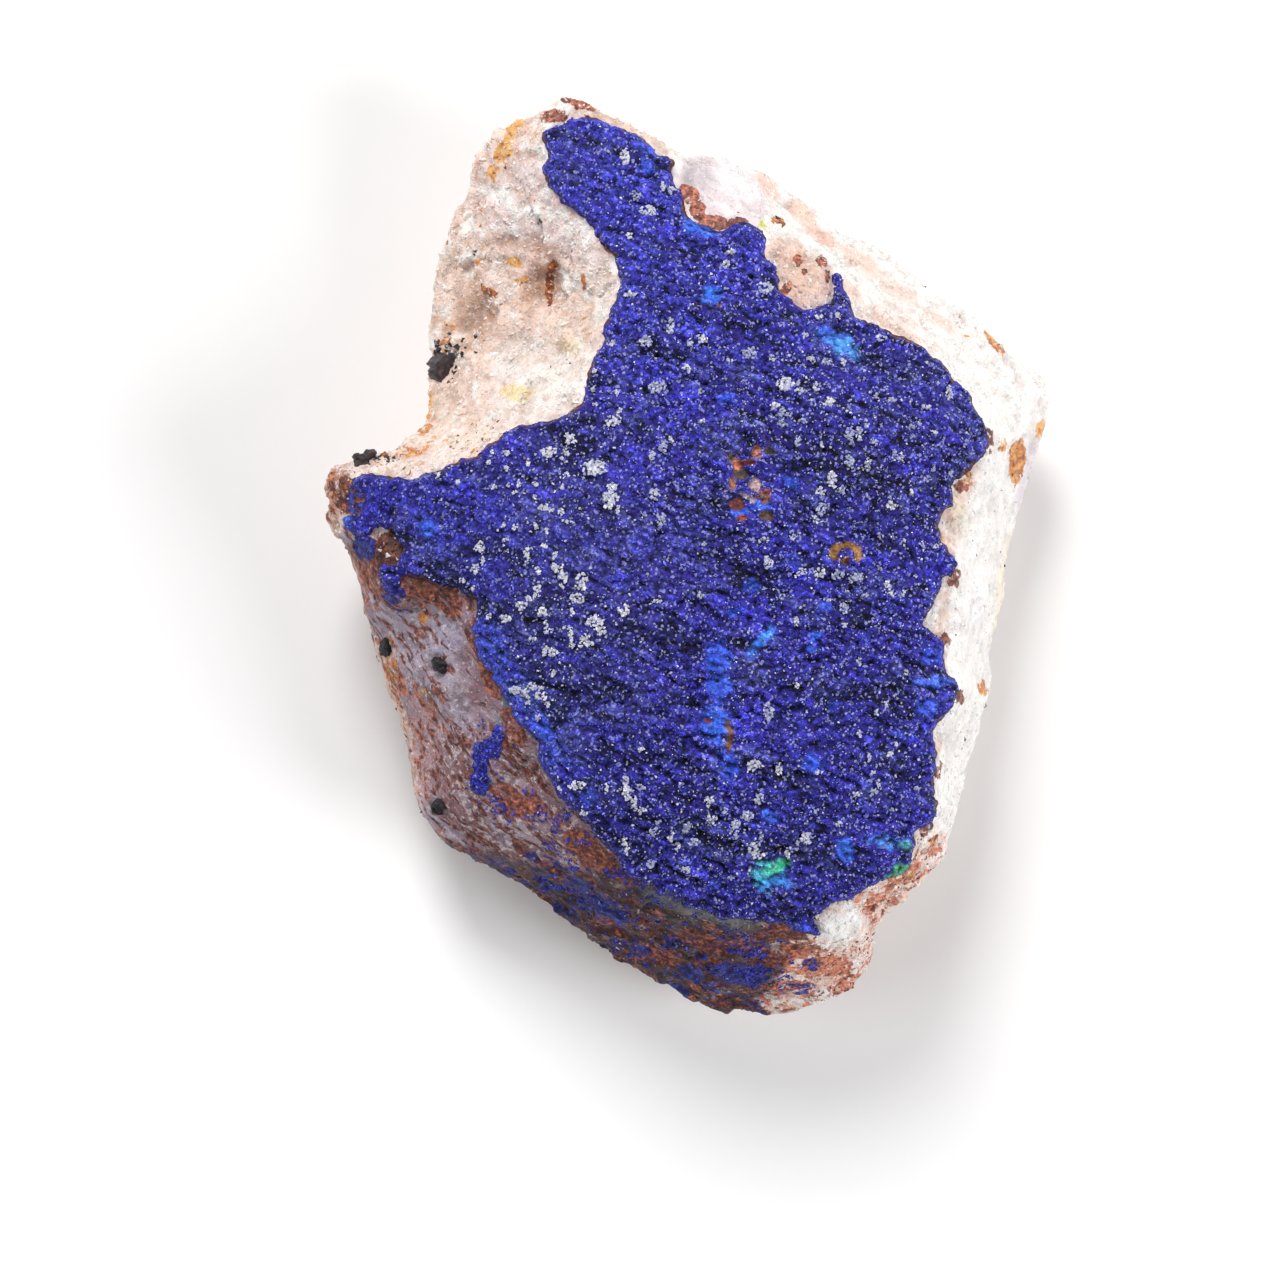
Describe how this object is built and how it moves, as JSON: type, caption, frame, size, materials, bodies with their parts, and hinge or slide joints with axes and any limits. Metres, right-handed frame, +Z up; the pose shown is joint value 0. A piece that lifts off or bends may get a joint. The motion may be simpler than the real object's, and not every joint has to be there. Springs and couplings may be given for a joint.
{
  "type": "azurite specimen",
  "caption": "Broken hand-sized piece of pale host rock with a crust of tiny dark blue azurite crystals over its upper face; rests on a flat break.",
  "frame": {"origin": "centre of the bounding box at its lowest level, in the plane of the flat break that the piece rests on", "axes": "+Z up, out of the azurite face; +Y towards the pointed top end of the azurite face; +X to the right seen from above"},
  "size_m": [0.0968, 0.1222, 0.0446],
  "materials": {
    "host_rock": "rough broken quartz-rich rock with iron stains",
    "azurite": "sparkling crust of tiny crystals",
    "black_grain": "dark satin mineral grain",
    "dark_crystal": "dark glassy mineral"
  },
  "bodies": {
    "root": {"host_rock": "host_rock", "azurite_crust": "azurite", "azurite_streak": "azurite", "black_grain_upper": "black_grain", "black_grain_middle": "black_grain", "black_grain_lower": "black_grain", "dark_crystal_edge": "dark_crystal", "dark_seam_tip": "dark_crystal"}
  },
  "joints": []
}
